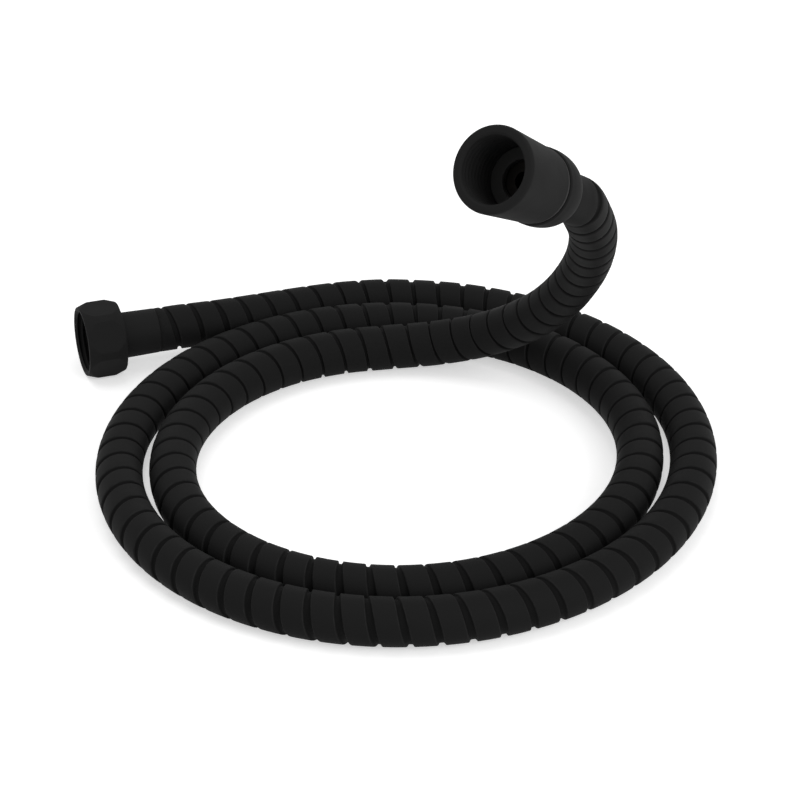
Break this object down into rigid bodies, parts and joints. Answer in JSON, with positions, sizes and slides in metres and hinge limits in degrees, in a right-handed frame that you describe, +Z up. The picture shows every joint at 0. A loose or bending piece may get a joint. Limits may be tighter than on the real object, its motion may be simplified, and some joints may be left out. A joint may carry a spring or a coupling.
{
  "type": "shower hose",
  "caption": "Flexible stripwound metal shower hose lying in a flat coil, with one end standing up; a hexagonal union nut on one end and a long conical union nut on the other.",
  "frame": {"origin": "on the plane that the coil lies on, under the middle of the part's outline", "axes": "+Z up from the plane that the coil lies on; -Y is the side that the open mouth of the raised conical nut faces; the hexagonal nut lies at -X"},
  "size_m": [0.1978, 0.199, 0.1408],
  "materials": {
    "casing_black": "matt black coat on stripwound steel",
    "fitting_black": "matt black coat on turned brass",
    "insert_blackened_brass": "turned and blackened",
    "washer_rubber": "moulded EPDM",
    "inner_hose_rubber": "extruded",
    "slip_ring_plastic": "moulded acetal"
  },
  "bodies": {
    "hose": {"hose_casing": "casing_black", "inner_hose": "inner_hose_rubber", "hex_end_washer": "washer_rubber", "hex_end_insert": "insert_blackened_brass", "hex_end_ferrule": "fitting_black", "cone_slip_ring": "slip_ring_plastic", "cone_collar": "fitting_black", "cone_end_washer": "washer_rubber", "cone_end_insert": "insert_blackened_brass", "cone_end_ferrule": "fitting_black"},
    "hex_nut": {"hex_nut": "fitting_black"},
    "cone_nut": {"cone_nut": "fitting_black"}
  },
  "joints": [
    {"name": "hex_nut_spin", "type": "hinge", "parent": "hose", "child": "hex_nut", "pos_m": [-0.07271, 0.06606, 0.011], "axis": [0.9494, 0.314, 0], "continuous": true},
    {"name": "cone_nut_spin", "type": "hinge", "parent": "hose", "child": "cone_nut", "pos_m": [0.04741, -0.03809, 0.1108], "axis": [0.49, 0.692, -0.53], "continuous": true}
  ]
}
